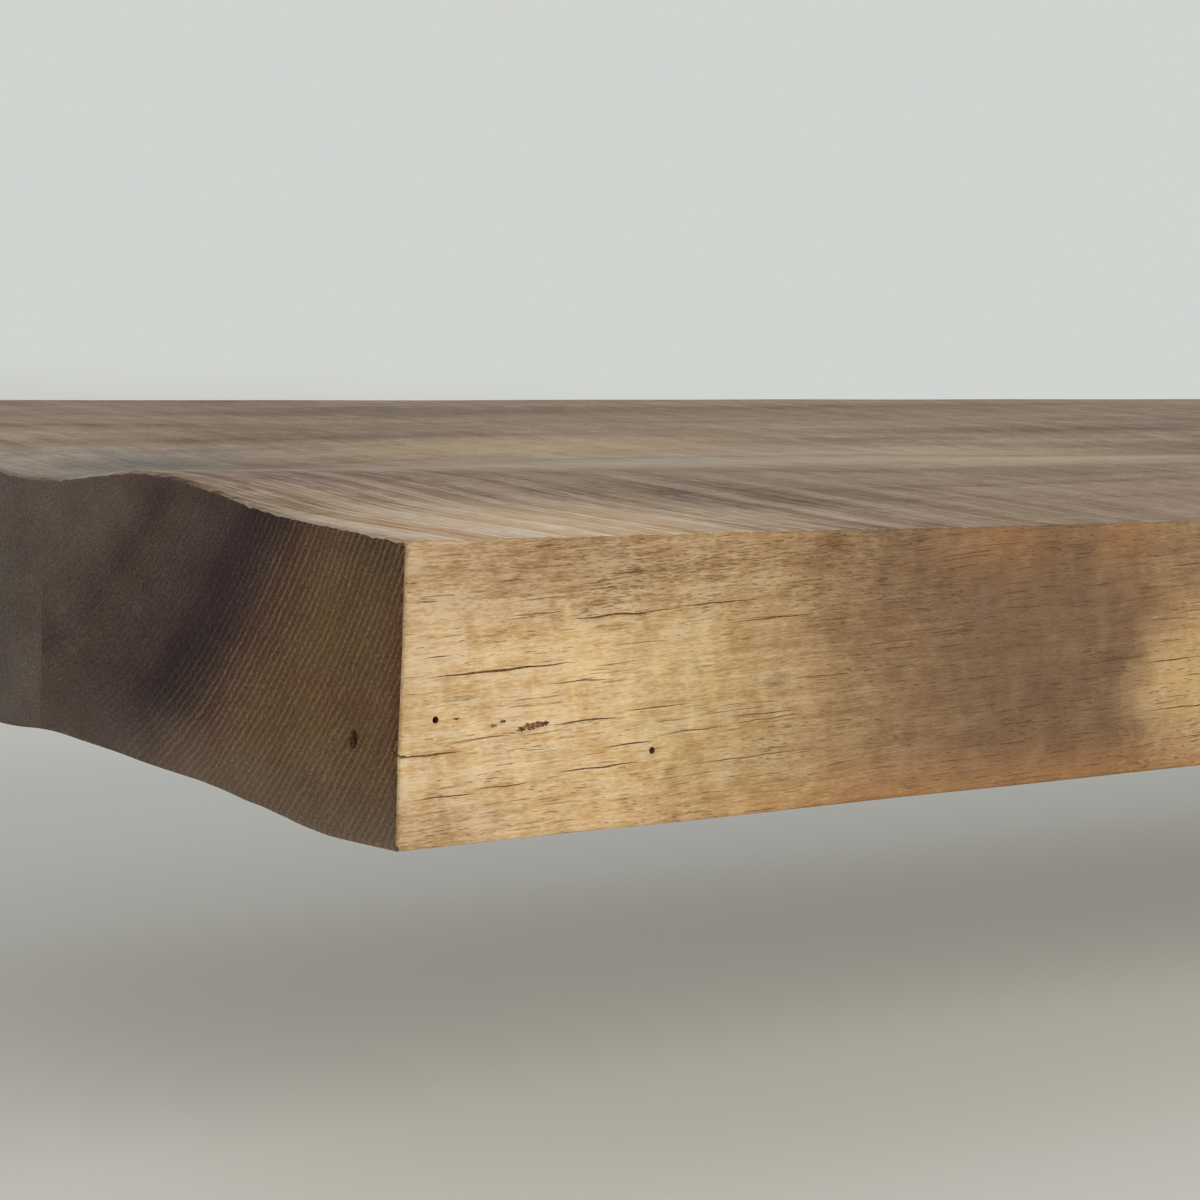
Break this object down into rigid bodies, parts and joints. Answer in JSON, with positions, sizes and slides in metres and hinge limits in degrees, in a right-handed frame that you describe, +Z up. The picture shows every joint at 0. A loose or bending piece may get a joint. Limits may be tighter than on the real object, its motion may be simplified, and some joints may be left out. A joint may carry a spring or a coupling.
{
  "type": "floating wall shelf",
  "caption": "Thick rustic solid-wood floating shelf, edge-glued from two staves, that slides onto a hidden steel rod bracket.",
  "frame": {"origin": "centre of the wall plate's wall face, at mid-length and level with the rods", "axes": "+X along the shelf, left to right as seen from the room; +Y into the wall; +Z up"},
  "size_m": [0.9, 0.3147, 0.0545],
  "materials": {
    "front_stave_wood": "oiled, hand scraped, golden to mid brown with dark end grain",
    "rear_stave_wood": "oiled, hand scraped, grey-brown with dark end grain",
    "coated_steel": "black powder coat",
    "zinc_steel": "bright zinc plate",
    "nylon": "grey moulded nylon",
    "brass": "turned, unpolished",
    "blacked_steel": "black oxide"
  },
  "bodies": {
    "bracket": {"wall_plate": "coated_steel", "support_rod_1": "coated_steel", "support_rod_2": "coated_steel", "support_rod_3": "coated_steel", "support_rod_4": "coated_steel", "wall_screw_1": "zinc_steel", "wall_screw_2": "zinc_steel", "wall_screw_3": "zinc_steel", "wall_screw_4": "zinc_steel", "wall_screw_5": "zinc_steel", "wall_screw_6": "zinc_steel", "wall_plug_1": "nylon", "wall_plug_2": "nylon", "wall_plug_3": "nylon", "wall_plug_4": "nylon", "wall_plug_5": "nylon", "wall_plug_6": "nylon"},
    "shelf": {"front_stave": "front_stave_wood", "rear_stave": "rear_stave_wood", "lock_insert_left": "brass", "lock_insert_right": "brass", "lock_screw_left": "blacked_steel", "lock_screw_right": "blacked_steel"}
  },
  "joints": [
    {"name": "shelf_slide", "type": "slide", "parent": "bracket", "child": "shelf", "axis": [0, -1, 0], "range_m": [0, 0.18]}
  ]
}
